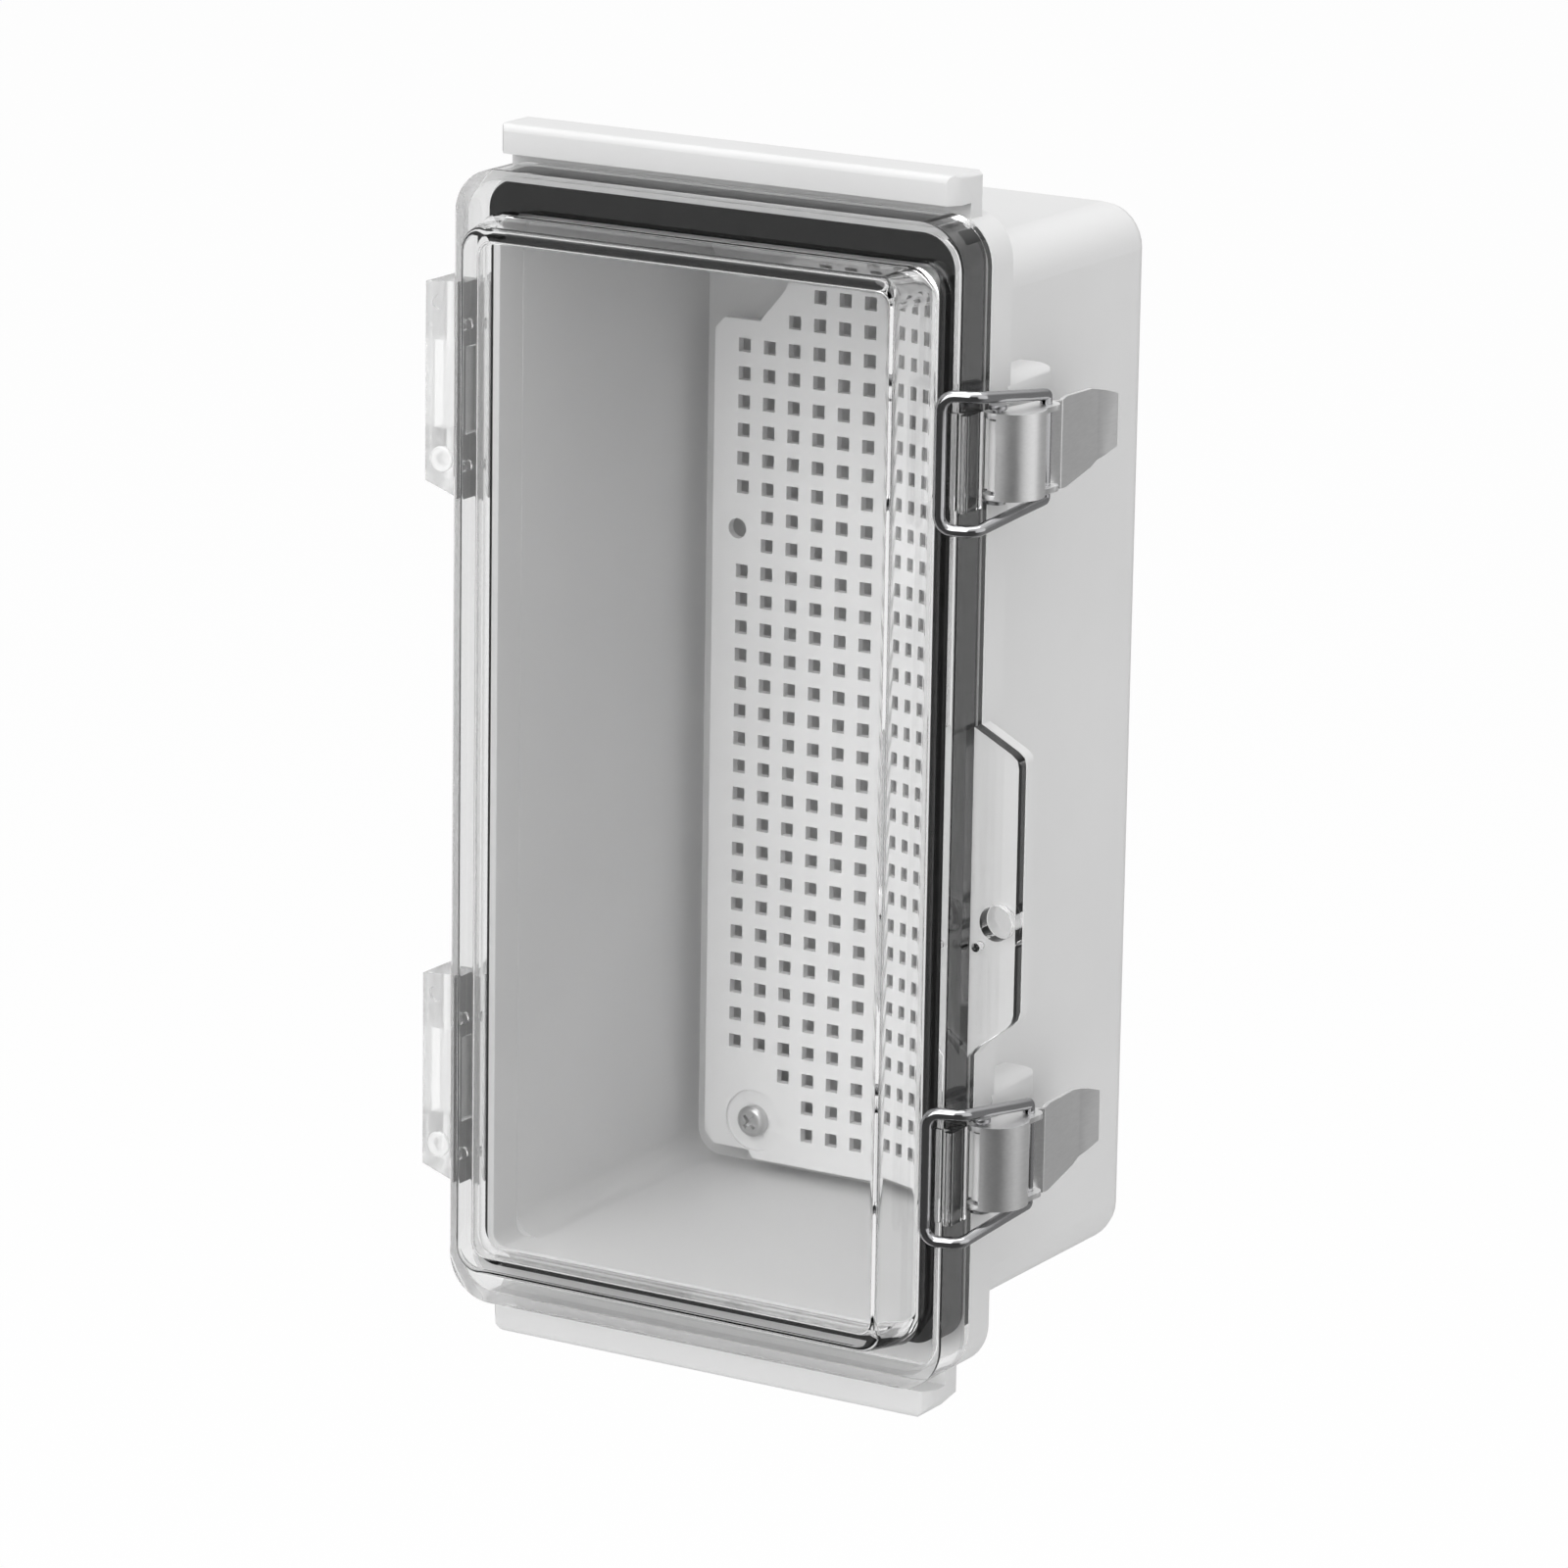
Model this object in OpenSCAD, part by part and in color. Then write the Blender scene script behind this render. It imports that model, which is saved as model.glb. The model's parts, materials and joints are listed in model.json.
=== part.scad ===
// Hinged polycarbonate enclosure: deep tub, raised clear lid, two wire draw
// latches on the right, two pinned hinges on the left, perforated panel inside.
// Millimetres. The back lies on y = 0, the front looks along -Y, +Z is up.

/* [Case] */
// width of the lid rim and flange
case_w = 97; // [85:0.5:130]
// height of the lid rim and flange
case_h = 196.7; // [180:0.1:240]
// depth from the back to the front of the rim
case_d = 72; // [60:0.5:100]
// corner radius of the rim
rim_r = 8; // [4:0.5:10]
// general wall thickness
wall = 2.5; // [2:0.1:3]
// width of the tub
tub_w = 87; // [80:0.5:88]
// height of the tub
tub_h = 182.5; // [170:0.5:184]
// corner radius of the tub
tub_r = 7.5; // [5:0.5:9]
// radius of the rear edge of the tub
back_r = 3; // [1:0.5:4]

/* [Rim] */
// depth of the lid rim
rim_d = 9.75; // [9:0.05:10.5]
// depth of the flange
flange_d = 6.65; // [5:0.05:9]
// gap between lid and flange
seam = 0.3; // [0.2:0.05:0.4]
// thickness of the rim's side wall
skirt_t = 1.9; // [1.5:0.1:2.2]
// thickness of the rim's front wall
rim_t = 2; // [1.6:0.1:2.4]
// width of the gasket
gasket_w = 4.1; // [2:0.1:4.5]
// thickness of the gasket over the flange
gasket_t = 5.65; // [3:0.05:7]
// top and bottom margin outside the gasket
gasket_margin = 4.95; // [2.5:0.05:5.5]

/* [Window] */
// side margin between rim edge and window
win_mx = 4.1; // [3.8:0.1:6]
// top and bottom margin between rim edge and window
win_mz = 7.3; // [6:0.1:10]
// height of the window over the rim
win_p = 8.7; // [4:0.1:14]
// draft of the window's sides over its height
win_dx = 2.36; // [0:0.02:4]
// draft of the window's ends over its height
win_dz = 0.7; // [0:0.1:3]
// corner radius of the window
win_r = 5; // [4:0.5:8]
// rounding of the window's front edge
win_edge = 1.2; // [0.6:0.1:2]

/* [Lips] */
// half length of the lips over and under the lid
lip_x = 44; // [30:0.5:45]
// thickness of the lips
lip_t = 4.9; // [3:0.1:7]
// space between the lid and a lip
lip_gap = 1.85; // [1:0.05:3]
// distance of a lip's front face behind the rim's front
lip_front = 5.2; // [2:0.1:8]

/* [Panel] */
// side gap between the panel and the tub
panel_gap_x = 4.7; // [2.5:0.1:8]
// top and bottom gap between the panel and the tub
panel_gap_z = 2.45; // [1.5:0.05:8]
// thickness of the panel
panel_t = 1.6; // [1.2:0.1:2.5]
// height of the posts under the panel
post_h = 4; // [3:0.5:8]
// radius of a post
post_r = 3.6; // [3.4:0.1:4]
// pitch of the square holes
grid = 5; // [4.5:0.5:8]
// side of a square hole
hole_a = 2.4; // [1.5:0.1:3]
// distance of the lower screws from the panel's side edge
screw_in_low = 10; // [9:0.5:12]
// distance of the upper screws from the panel's side edge
screw_in_top = 21; // [20:0.5:24]
// distance of the screws from the panel's top and bottom edges
screw_in_z = 7; // [6.5:0.5:8]
// radius of the panel screws' shanks
screw_r = 1.5; // [1.25:0.05:1.6]

/* [Wall mount] */
// distance of the wall holes from the tub's inner sides
wall_in_x = 7.2; // [6:0.1:8]
// distance of the wall holes from the tub's inner ends
wall_in_z = 9.45; // [8:0.05:12]
// radius of a wall hole
wall_r = 2.25; // [1.6:0.05:2.6]

/* [Hinges] */
// distance of the hinge centres from the rim's top and bottom
hinge_in = 38.35; // [30:0.05:46]
// radius of a hinge barrel
barrel_r = 3.25; // [2.8:0.05:3.6]
// radius of the hinge pin
hinge_pin_r = 1.25; // [1:0.05:1.5]
// half length of the middle knuckle
knuckle_z = 7.2; // [5:0.1:9]
// length of a leaf over the hinge centre
leaf_up = 18.5; // [15:0.5:22]
// length of a leaf under the hinge centre
leaf_down = 18.5; // [15:0.5:22]
// front of a leaf behind the rim's front
leaf_front = 1.5; // [0.5:0.1:3]

/* [Latches] */
// distance of the latch centres from the rim's top and bottom
latch_in = 38.35; // [30:0.05:41]
// lever pivot outside the rim's side
pivot_x = 2.5; // [2.5:0.1:3]
// lever pivot behind the rim's front
pivot_y = 8.3; // [8.2:0.1:8.5]
// radius of the lever pin
latch_pin_r = 0.8; // [0.7:0.05:0.9]
// thickness of the lever's sheet
sheet = 0.7; // [0.6:0.05:0.7]
// half height of the lever at its outer faces
lever_z = 7.2; // [6.5:0.1:7.3]
// radius of the wire bail
wire_r = 1; // [0.8:0.05:1.1]
// half height of the bail between wire centres
bail_z = 11; // [10.5:0.1:12]
// radial running clearance of the pins
fit = 0.06; // [0.03:0.01:0.1]

/* [Padlock hasp] */
// width of the hasp tabs
hasp_w = 8.5; // [8:0.1:11]
// thickness of a hasp tab
hasp_t = 2.4; // [1.8:0.1:3.2]
// radius of the padlock hole
hasp_r = 3; // [2.5:0.1:3.2]
// height of the padlock hole
hasp_z = -18; // [-24:0.5:-6]

/* [Hidden] */
$fn = 48;
e = 0.01;
xs = case_w/2;
zs = case_h/2;
yf = -case_d;
y_flange = yf + rim_d + seam;
y_tub = y_flange + flange_d;
in_w = tub_w - 2*2.8;
in_h = tub_h - 2*2.8;
in_r = tub_r - 2.8;
hinge_z = zs - hinge_in;
latch_z = zs - latch_in;
wall_x = in_w/2 - wall_in_x;
wall_z = in_h/2 - wall_in_z;
panel_w = in_w - 2*panel_gap_x;
panel_h = in_h - 2*panel_gap_z;
screw_x_low = panel_w/2 - screw_in_low;
screw_x_top = panel_w/2 - screw_in_top;
screw_z = panel_h/2 - screw_in_z;
// panel planes
y_post = -wall - post_h;
y_panel = y_post - panel_t;
// gasket ring
gk_x = xs - skirt_t - seam;
gk_z = zs - gasket_margin;
// window outline at its foot and at its front
win_x = xs - win_mx;
win_z = zs - win_mz;
// hinge axis
hx = -xs - 3.5;
hy = yf + rim_d + 0.05;
web_r = barrel_r + 0.3;
// latch points: lever pivot, bail pivot, bail bend and bail front bar
px = xs + pivot_x;
py = yf + pivot_y;
qx = xs + 5.7;
qy = yf + 18.5;
bx = xs + 4;
by = yf;
fx = xs - 2.1;
fy = yf - 2.1;
// nose of the lever
nx = xs + 2.8;
ny = yf + 12;
nose_r = 5.9;
boss_r = 1.35;
ear_t = 0.9;
eye_r = pivot_x - seam;
boss_z = lever_z - ear_t - 0.5;
// bail half height at its pivot
bail_in = lever_z + wire_r + 0.5;

function zc(up) = up ? 1 : -1;

// ---- shared shapes ----

// rounded rectangle on the X-Z plane, from y0 back to y1
module plate(w, h, r, y0, y1) {
  translate([0, y1, 0])
    rotate([90, 0, 0])
      linear_extrude(y1 - y0) rrect(w, h, r);
}

module rrect(w, h, r) {
  square([w - 2*r, h], center = true);
  square([w, h - 2*r], center = true);
  for (x = [-1, 1], z = [-1, 1])
    translate([x*(w/2 - r), z*(h/2 - r)]) circle(r);
}

// X-Z outline made solid from y0 back to y1
module slab(y0, y1) {
  translate([0, y1, 0]) rotate([90, 0, 0]) linear_extrude(y1 - y0) children();
}

// Y-Z outline made solid from x0 to x1
module side(x0, x1) {
  translate([x0, 0, 0]) rotate([90, 0, 90]) linear_extrude(x1 - x0) children();
}

module tube_y(x, z, r, y0, y1) {
  translate([x, y1, z]) rotate([90, 0, 0]) cylinder(h = y1 - y0, r = r);
}

// straight round bar between two points, with a slightly larger ball at its far end
module rod(a, b, r) {
  d = b - a;
  l = norm(d);
  translate(a)
    rotate([0, acos(d[2]/l), atan2(d[1], d[0])])
      cylinder(h = l, r = r);
  translate(b) sphere(r + 0.02);
}

// strip of sheet between two points of its middle line
module strip(a, b, t) {
  d = b - a;
  translate(a)
    rotate(atan2(d[1], d[0]))
      translate([0, -t/2]) square([norm(d), t]);
  translate(b) circle(t/2);
}

// ---- tub ----

module tub_shell() {
  difference() {
    union() {
      hull() {
        plate(tub_w, tub_h, tub_r, y_tub - 1, -back_r, $fn = 32);
        for (a = [30, 60, 90])
          plate(tub_w - 2*back_r*(1 - cos(a)), tub_h - 2*back_r*(1 - cos(a)),
            tub_r - back_r*(1 - cos(a)), -back_r, -back_r + back_r*sin(a), $fn = 32);
      }
      plate(case_w, case_h, rim_r, y_flange, y_tub);
    }
    plate(in_w, in_h, in_r, y_flange - 1, -wall);
  }
}

// lip over the lid; cut is the chamfer of its outer corners in front view
module lip(cut) {
  z0 = zs + lip_gap;
  z1 = z0 + lip_t;
  y1 = y_flange + 4;
  intersection() {
    side(-lip_x, lip_x)
      polygon([[y1, zs - 1], [y1, z1], [yf + lip_front, z1], [yf + lip_front, z0],
        [y_flange + 0.4, z0], [y_flange + 0.4, zs - 1]]);
    slab(yf, y1 + 1)
      polygon([[-lip_x, zs - 2], [-lip_x, z1 - cut], [-lip_x + cut, z1],
        [lip_x - cut, z1], [lip_x, z1 - cut], [lip_x, zs - 2]]);
    translate([0, 0, zs - 2])
      linear_extrude(20)
        polygon([[-lip_x, y1 + 1], [-lip_x, yf + lip_front + 2.2],
          [-lip_x + 1.6, yf + lip_front - e], [lip_x - 1.6, yf + lip_front - e],
          [lip_x, yf + lip_front + 2.2], [lip_x, y1 + 1]]);
  }
}

module hinge_knuckle(z) {
  difference() {
    union() {
      translate([hx, hy, z - knuckle_z]) cylinder(h = 2*knuckle_z, r = barrel_r);
      translate([hx, hy, z - knuckle_z])
        cube([-xs - hx + 1, barrel_r, 2*knuckle_z]);
    }
    translate([hx, hy, z - knuckle_z - 1])
      cylinder(h = 2*knuckle_z + 2, r = hinge_pin_r + fit);
    // the part of the web in front of the flange stays clear of the lid
    translate([-xs - seam, yf, z - knuckle_z - 1])
      cube([5, rim_d + seam - e, 2*knuckle_z + 2]);
  }
}

module latch_boss(z) {
  difference() {
    translate([0, 0, z - boss_z])
      linear_extrude(2*boss_z)
        union() {
          translate([px, py]) circle(boss_r);
          polygon([[xs + seam, py], [xs + seam, y_flange], [xs - 1, y_flange],
            [xs - 1, y_flange + 5.5], [xs + 1, y_flange + 5.5],
            [px - 0.6, y_flange + 3], [px, py + boss_r], [px + boss_r - 0.05, py]]);
        }
    translate([px, py, z - boss_z - 1])
      cylinder(h = 2*boss_z + 2, r = latch_pin_r + 0.01);
  }
}

// rounded guard block on the tub wall under the lever
module latch_guard(z) {
  gx = xs + 0.4;
  gy = y_tub + 15;
  gz = 11.6;
  r = 3.4;
  intersection() {
    translate([0, 0, z - gz])
      linear_extrude(2*gz)
        union() {
          translate([tub_w/2 - 1, y_tub - 1])
            square([gx - tub_w/2 + 1 - r, gy - y_tub + 1]);
          translate([tub_w/2 - 1, y_tub - 1])
            square([gx - tub_w/2 + 1, gy - y_tub + 1 - r]);
          translate([gx - r, gy - r]) circle(r);
        }
    side(0, xs + 5)
      translate([y_tub - 4, z]) rrect(2*(gy - y_tub + 4), 2*gz, r);
    slab(y_tub - 2, gy + 1)
      translate([0, z]) rrect(2*gx, 2*gz, r);
  }
}

module hasp_outline(shrink) {
  difference() {
    polygon([[xs - 1, 15], [xs, 14.6], [xs + hasp_w - 1.4, 10.9],
      [xs + hasp_w - 0.3, 10], [xs + hasp_w, 8.8], [xs + hasp_w, -33],
      [xs + hasp_w - 0.4, -34.4], [xs + hasp_w - 1.4, -35.6],
      [xs + 1.6, -39.6], [xs, -41.6], [xs - 1, -42]]);
    translate([xs + hasp_w/2 + 0.5, hasp_z]) circle(hasp_r);
    // small hole for a seal wire
    translate([xs + 1.1, hasp_z - 4.6]) circle(0.75);
  }
}

module post(x, z) {
  tube_y(x, z, post_r, y_post, -wall + 0.5);
}

module tub() {
  color([0.80, 0.81, 0.81])
    difference() {
      union() {
        tub_shell();
        lip(0.7);
        mirror([0, 0, 1]) lip(2.8);
        for (s = [-1, 1]) {
          hinge_knuckle(s*hinge_z);
          latch_boss(s*latch_z);
          latch_guard(s*latch_z);
        }
        slab(y_flange, y_flange + hasp_t) hasp_outline(0);
        for (s = [-1, 1]) {
          post(s*screw_x_low, -screw_z);
          post(s*screw_x_top, screw_z);
        }
      }
      for (s = [-1, 1]) {
        tube_y(s*screw_x_low, -screw_z, screw_r + 0.75, y_post - 1, -wall + 0.8);
        tube_y(s*screw_x_top, screw_z, screw_r + 0.75, y_post - 1, -wall + 0.8);
        for (t = [-1, 1])
          tube_y(s*wall_x, t*wall_z, wall_r, -wall - 1, 1);
      }
    }
}

// ---- gasket ----

module gasket() {
  color([0.05, 0.05, 0.05])
    difference() {
      plate(2*gk_x, 2*gk_z, rim_r - skirt_t - seam, y_flange - gasket_t, y_flange);
      plate(2*(gk_x - gasket_w), 2*(gk_z - gasket_w), 3, yf, y_flange + 1);
    }
}

// ---- mounting plate ----

function panel_edge() = let (w = panel_w/2, h = panel_h/2)
  [[-w, -h + 3.5], [-w + 2, -h + 1.5], [-w + 9, -h + 1.5], [-w + 10, -h],
    [w - 10, -h], [w - 9, -h + 1.5], [w - 2, -h + 1.5], [w, -h + 3.5],
    [w, h - 23.5], [w - 2, h - 21.5], [w - 9, h - 21.5], [w - 14, h - 15.5],
    [w - 15.5, h - 12], [w - 15.5, h - 2], [w - 17.5, h],
    [-w + 17.5, h], [-w + 15.5, h - 2], [-w + 15.5, h - 12], [-w + 14, h - 15.5],
    [-w + 9, h - 21.5], [-w + 2, h - 21.5], [-w, h - 23.5]];

// a square hole stands at column i, row k unless an edge, a screw or a round hole is near
function far(x, z, cx, cz, d) = norm([x - cx, z - cz]) > d;
function keeps(x, z) =
  abs(x) <= panel_w/2 - 5 && z >= -panel_h/2 + 5.5 && z <= panel_h/2 - 5.5 &&
  !(abs(x) > panel_w/2 - 12 && (z > panel_h/2 - 22 || z < -panel_h/2 + 17)) &&
  !(abs(x) > panel_w/2 - 17.5 && (z > panel_h/2 - 17 || z < -panel_h/2 + 12)) &&
  far(abs(x), z, screw_x_low, -screw_z, 7.5) &&
  far(abs(x), z, screw_x_top, screw_z, 7.5) &&
  far(abs(x), z, panel_w/2 - 5, 27.5, 4);

// one row of the panel, as high as the pitch, with its square holes
module panel_row(k) {
  holes = [for (i = [-8:8]) if (keeps(i*grid, k*grid)) i*grid];
  z = k*grid;
  w = panel_w/2;
  pts = concat([[-w, z - grid/2], [w, z - grid/2], [w, z + grid/2], [-w, z + grid/2]],
    [for (x = holes, c = [[-1, -1], [1, -1], [1, 1], [-1, 1]])
      [x + c[0]*hole_a/2, z + c[1]*hole_a/2]]);
  polygon(pts, paths = [for (h = [0:len(holes)]) [for (i = [0:3]) 4*h + i]]);
}

module mounting_plate() {
  rows = floor(panel_h/2/grid) + 1;
  color([0.78, 0.79, 0.79])
    difference() {
      slab(y_panel, y_post)
        intersection() {
          polygon(panel_edge());
          union()
            for (k = [-rows:rows]) panel_row(k);
        }
      for (s = [-1, 1]) {
        tube_y(s*screw_x_low, -screw_z, 5.6, y_panel - 1, y_panel + 0.6);
        tube_y(s*screw_x_top, screw_z, 5.6, y_panel - 1, y_panel + 0.6);
        tube_y(s*screw_x_low, -screw_z, screw_r + 0.2, y_panel - 1, y_post + 1);
        tube_y(s*screw_x_top, screw_z, screw_r + 0.2, y_panel - 1, y_post + 1);
        tube_y(s*(panel_w/2 - 5), 27.5, 1.8, y_panel - 1, y_post + 1);
      }
    }
}

module insert(x, z) {
  difference() {
    tube_y(x, z, screw_r + 0.75, y_post, -wall + 0.3);
    tube_y(x, z, screw_r + 0.05, y_post - 1, 0);
  }
}

module plate_inserts() {
  color([0.75, 0.60, 0.30])
    for (s = [-1, 1]) {
      insert(s*screw_x_low, -screw_z);
      insert(s*screw_x_top, screw_z);
    }
}

module screw(x, z) {
  y_head = y_panel + 0.6;
  difference() {
    union() {
      tube_y(x, z, screw_r, y_head - 1, -wall - 0.4);
      tube_y(x, z, 2.8, y_head - 1.3, y_head);
      translate([x, y_head - 1.3, z])
        rotate([90, 0, 0])
          cylinder(h = 0.7, r1 = 2.8, r2 = 1.9);
    }
    for (a = [45, 135])
      translate([x, y_head - 1.7, z])
        rotate([0, a, 0])
          cube([3, 1.4, 0.7], center = true);
  }
}

module plate_screws() {
  color([0.62, 0.63, 0.65]) {
    for (s = [-1, 1]) {
      screw(s*screw_x_low, -screw_z);
      screw(s*screw_x_top, screw_z);
    }
  }
}

// ---- lid ----

// window block; inset pulls every face inwards
module window_block(inset, y_back) {
  x0 = win_x - inset;
  z0 = win_z - inset;
  x1 = x0 - win_dx;
  z1 = z0 - win_dz;
  r = win_r - inset*0.6;
  g = win_edge - inset*0.25;
  y1 = yf - win_p + inset;
  hull() {
    plate(2*x0, 2*z0, r, yf, y_back, $fn = 32);
    for (a = [0, 30, 60, 90])
      plate(2*(x1 - g*(1 - cos(a))), 2*(z1 - g*(1 - cos(a))), r - 0.8,
        y1 + g*(1 - sin(a)), y1 + g*(1 - sin(a)) + 0.02, $fn = 32);
  }
}

// catch lip for a bail, with a low pad under its front bar
module catch(z) {
  translate([0, 0, z - 8])
    linear_extrude(16)
      union() {
        translate([xs - 0.5, yf]) square([3, 3.6]);
        translate([xs + 1, yf - 1.15]) square([1.5, 1.65]);
        translate([xs + 1.75, yf - 1.15]) circle(0.75);
      }
  translate([fx - 1, yf - 0.8, z - 8])
    cube([xs - fx + 1, 1, 16]);
}

module lid() {
  color([0.86, 0.90, 0.92, 0.35])
    difference() {
      union() {
        plate(case_w, case_h, rim_r, yf, yf + rim_d);
        window_block(0, yf + 1);
        for (s = [-1, 1])
          catch(s*latch_z);
        slab(yf + rim_d - hasp_t, yf + rim_d) hasp_outline(0);
      }
      window_block(wall, yf + rim_d + 1);
      plate(case_w - 2*skirt_t, case_h - 2*skirt_t, rim_r - skirt_t,
        yf + rim_t, yf + rim_d + 1);
    }
}

// ---- hinges ----

module leaf(z) {
  x0 = hx - barrel_r;
  difference() {
    union() {
      intersection() {
        translate([x0, yf + leaf_front, z - 30])
          cube([-xs - x0, hy - yf - leaf_front, 60]);
        slab(yf, hy + 1)
          polygon([[x0, z - leaf_down + 2.4], [-xs, z - leaf_down],
            [-xs, z + leaf_up], [x0, z + leaf_up - 0.6]]);
      }
      translate([hx, hy, z - leaf_down + 2.4])
        cylinder(h = leaf_down + leaf_up - 3, r = barrel_r);
    }
    translate([hx, hy, z - knuckle_z - 0.3])
      cylinder(h = 2*knuckle_z + 0.6, r = web_r);
    translate([x0 - 1, hy - web_r, z - knuckle_z - 0.3])
      cube([-xs - x0 + 2, 2*web_r, 2*knuckle_z + 0.6]);
    translate([hx, hy, z - 30])
      cylinder(h = 60, r = hinge_pin_r + 0.01);
    // shallow thumb recess near the top of the front face
    translate([hx - 0.6, yf + leaf_front + 0.5, z + leaf_up - 4])
      rotate([90, 0, 0]) cylinder(h = 2, r = 1.3);
    // seat of the cap screw near the foot
    tube_y(hx + 0.4, z - leaf_down + 6.5, 1.1, yf, yf + leaf_front + 2.6);
  }
}

module hinge_leaf_upper() { color([0.88, 0.91, 0.93, 0.4]) leaf(hinge_z); }
module hinge_leaf_lower() { color([0.88, 0.91, 0.93, 0.4]) leaf(-hinge_z); }

module hinge_pin(z) {
  color([0.72, 0.73, 0.75])
    translate([hx, hy, z - leaf_down + 2.8])
      cylinder(h = leaf_down + leaf_up - 3.8, r = hinge_pin_r);
}

module hinge_pin_upper() { hinge_pin(hinge_z); }
module hinge_pin_lower() { hinge_pin(-hinge_z); }

// round retaining button at the foot of a leaf
module hinge_cap(z) {
  y0 = yf + leaf_front;
  color([0.88, 0.91, 0.93, 0.5]) {
    tube_y(hx + 0.4, z - leaf_down + 6.5, 1.08, y0 - 0.3, y0 + 2.5);
    tube_y(hx + 0.4, z - leaf_down + 6.5, 2.2, y0 - 0.9, y0);
  }
}

module hinge_cap_upper() { hinge_cap(hinge_z); }
module hinge_cap_lower() { hinge_cap(-hinge_z); }

// ---- latches ----

// middle line of the lever's sheet behind the nose
LINE = [[nx + (nose_r - sheet/2)*cos(40), ny + (nose_r - sheet/2)*sin(40)],
  [qx - 1.3 - wire_r*0.5, qy - 0.9], [qx - 1.3 - wire_r*0.5, qy + 0.9],
  [xs + 6.6, yf + 22], [xs + 3.8, yf + 39], [xs + 4.5, yf + 44.5]];

module sheet_line(from, to) {
  for (i = [from:to - 1])
    strip(LINE[i], LINE[i + 1], sheet);
  translate(LINE[from]) circle(sheet/2);
}

// nose arc of the sheet, from in front of the pivot round to the valley
module nose_arc() {
  difference() {
    translate([nx, ny]) circle(nose_r);
    translate([nx, ny]) circle(nose_r - sheet);
    // keeps only the outer sector
    translate([nx, ny])
      polygon([[0, 0], [9*cos(40), 9*sin(40)], [4, 12], [-12, 12], [-12, -12],
        [9*cos(-84), -12], [9*cos(-84), 9*sin(-84)]]);
  }
}

module ear() {
  difference() {
    union() {
      translate([px, py]) circle(eye_r);
      translate([qx, qy]) circle(2.3);
      intersection() {
        translate([nx, ny]) circle(nose_r - 0.05);
        polygon([[px - 0.8, py + 1.9], [qx - 2.1, qy + 1], [nx + 8, qy + 1],
          [nx + 8, yf], [px + 0.55, yf]]);
      }
      polygon([[px - 0.8, py + 1.9], [qx - 2.1, qy + 1], [qx + 1.7, qy + 1.5],
        [qx + 2.2, qy - 0.6], [nx + nose_r*cos(32), ny + nose_r*sin(32)], [px + 2, py]]);
    }
    translate([px, py]) circle(latch_pin_r + fit);
    translate([qx, qy]) circle(wire_r + fit);
  }
}

module lever(z) {
  color([0.75, 0.76, 0.78])
    union() {
      for (s = [0, 1])
        translate([0, 0, s == 0 ? z - lever_z : z + lever_z - ear_t])
          linear_extrude(ear_t) ear();
      translate([0, 0, z - lever_z])
        linear_extrude(2*lever_z)
          union() {
            nose_arc();
            sheet_line(0, 3);
          }
      intersection() {
        translate([0, 0, z - 9])
          linear_extrude(18) sheet_line(3, 5);
        side(xs - 5, xs + 20)
          polygon([[yf + 20, z - lever_z], [yf + 24, z - lever_z - 0.4],
            [yf + 36, z - lever_z + 0.6], [yf + 41.5, z - 5.4], [yf + 45, z - 4.3],
            [yf + 45, z + 4.3], [yf + 41.5, z + 5.4], [yf + 36, z + lever_z - 0.6],
            [yf + 24, z + lever_z + 0.4], [yf + 20, z + lever_z]]);
      }
    }
}

module latch_lever_upper() { lever(latch_z); }
module latch_lever_lower() { lever(-latch_z); }

// wire path of one half, from the front bar round to the rear bar
function half_path(z, s) = [[fx, fy, z + s*(bail_z - 2.4)],
  [fx + 0.35, fy + 0.1, z + s*(bail_z - 1.2)], [fx + 1.15, fy + 0.3, z + s*(bail_z - 0.35)],
  [fx + 2.3, fy + 0.6, z + s*bail_z], [bx - 1.2, by - 0.55, z + s*bail_z],
  [bx - 0.1, by + 0.7, z + s*bail_z], [bx + 0.15, by + 2.4, z + s*bail_z],
  [bx + 1.2, qy - 6, z + s*(bail_in + 0.9)], [qx - 0.15, qy - 2.6, z + s*(bail_in + 0.35)],
  [qx, qy, z + s*bail_in]];

module bail(z) {
  up = half_path(z, 1);
  low = half_path(z, -1);
  color([0.82, 0.83, 0.85]) {
    for (i = [0:8]) {
      rod(up[i], up[i + 1], wire_r);
      rod(low[i], low[i + 1], wire_r);
    }
    translate(up[0]) sphere(wire_r + 0.02);
    translate(low[0]) sphere(wire_r + 0.02);
    translate(low[0]) cylinder(h = norm(up[0] - low[0]), r = wire_r);
    translate(low[9]) cylinder(h = norm(up[9] - low[9]), r = wire_r);
  }
}

module latch_bail_upper() { bail(latch_z); }
module latch_bail_lower() { bail(-latch_z); }

module latch_pin(z) {
  color([0.55, 0.56, 0.58]) {
    translate([px, py, z - lever_z - 1])
      cylinder(h = 2*lever_z + 2, r = latch_pin_r);
    translate([px, py, z + lever_z + 0.3])
      cylinder(h = 0.8, r = latch_pin_r + 0.7);
  }
}

module latch_pin_upper() { latch_pin(latch_z); }
module latch_pin_lower() { latch_pin(-latch_z); }

module latch_clip(z) {
  color([0.30, 0.30, 0.31])
    difference() {
      translate([px, py, z - lever_z - 0.8])
        cylinder(h = 0.5, r = latch_pin_r + 0.8);
      translate([px, py, z - lever_z - 1])
        cylinder(h = 1, r = latch_pin_r + 0.01);
    }
}

module latch_clip_upper() { latch_clip(latch_z); }
module latch_clip_lower() { latch_clip(-latch_z); }

// ---- selection ----

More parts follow.
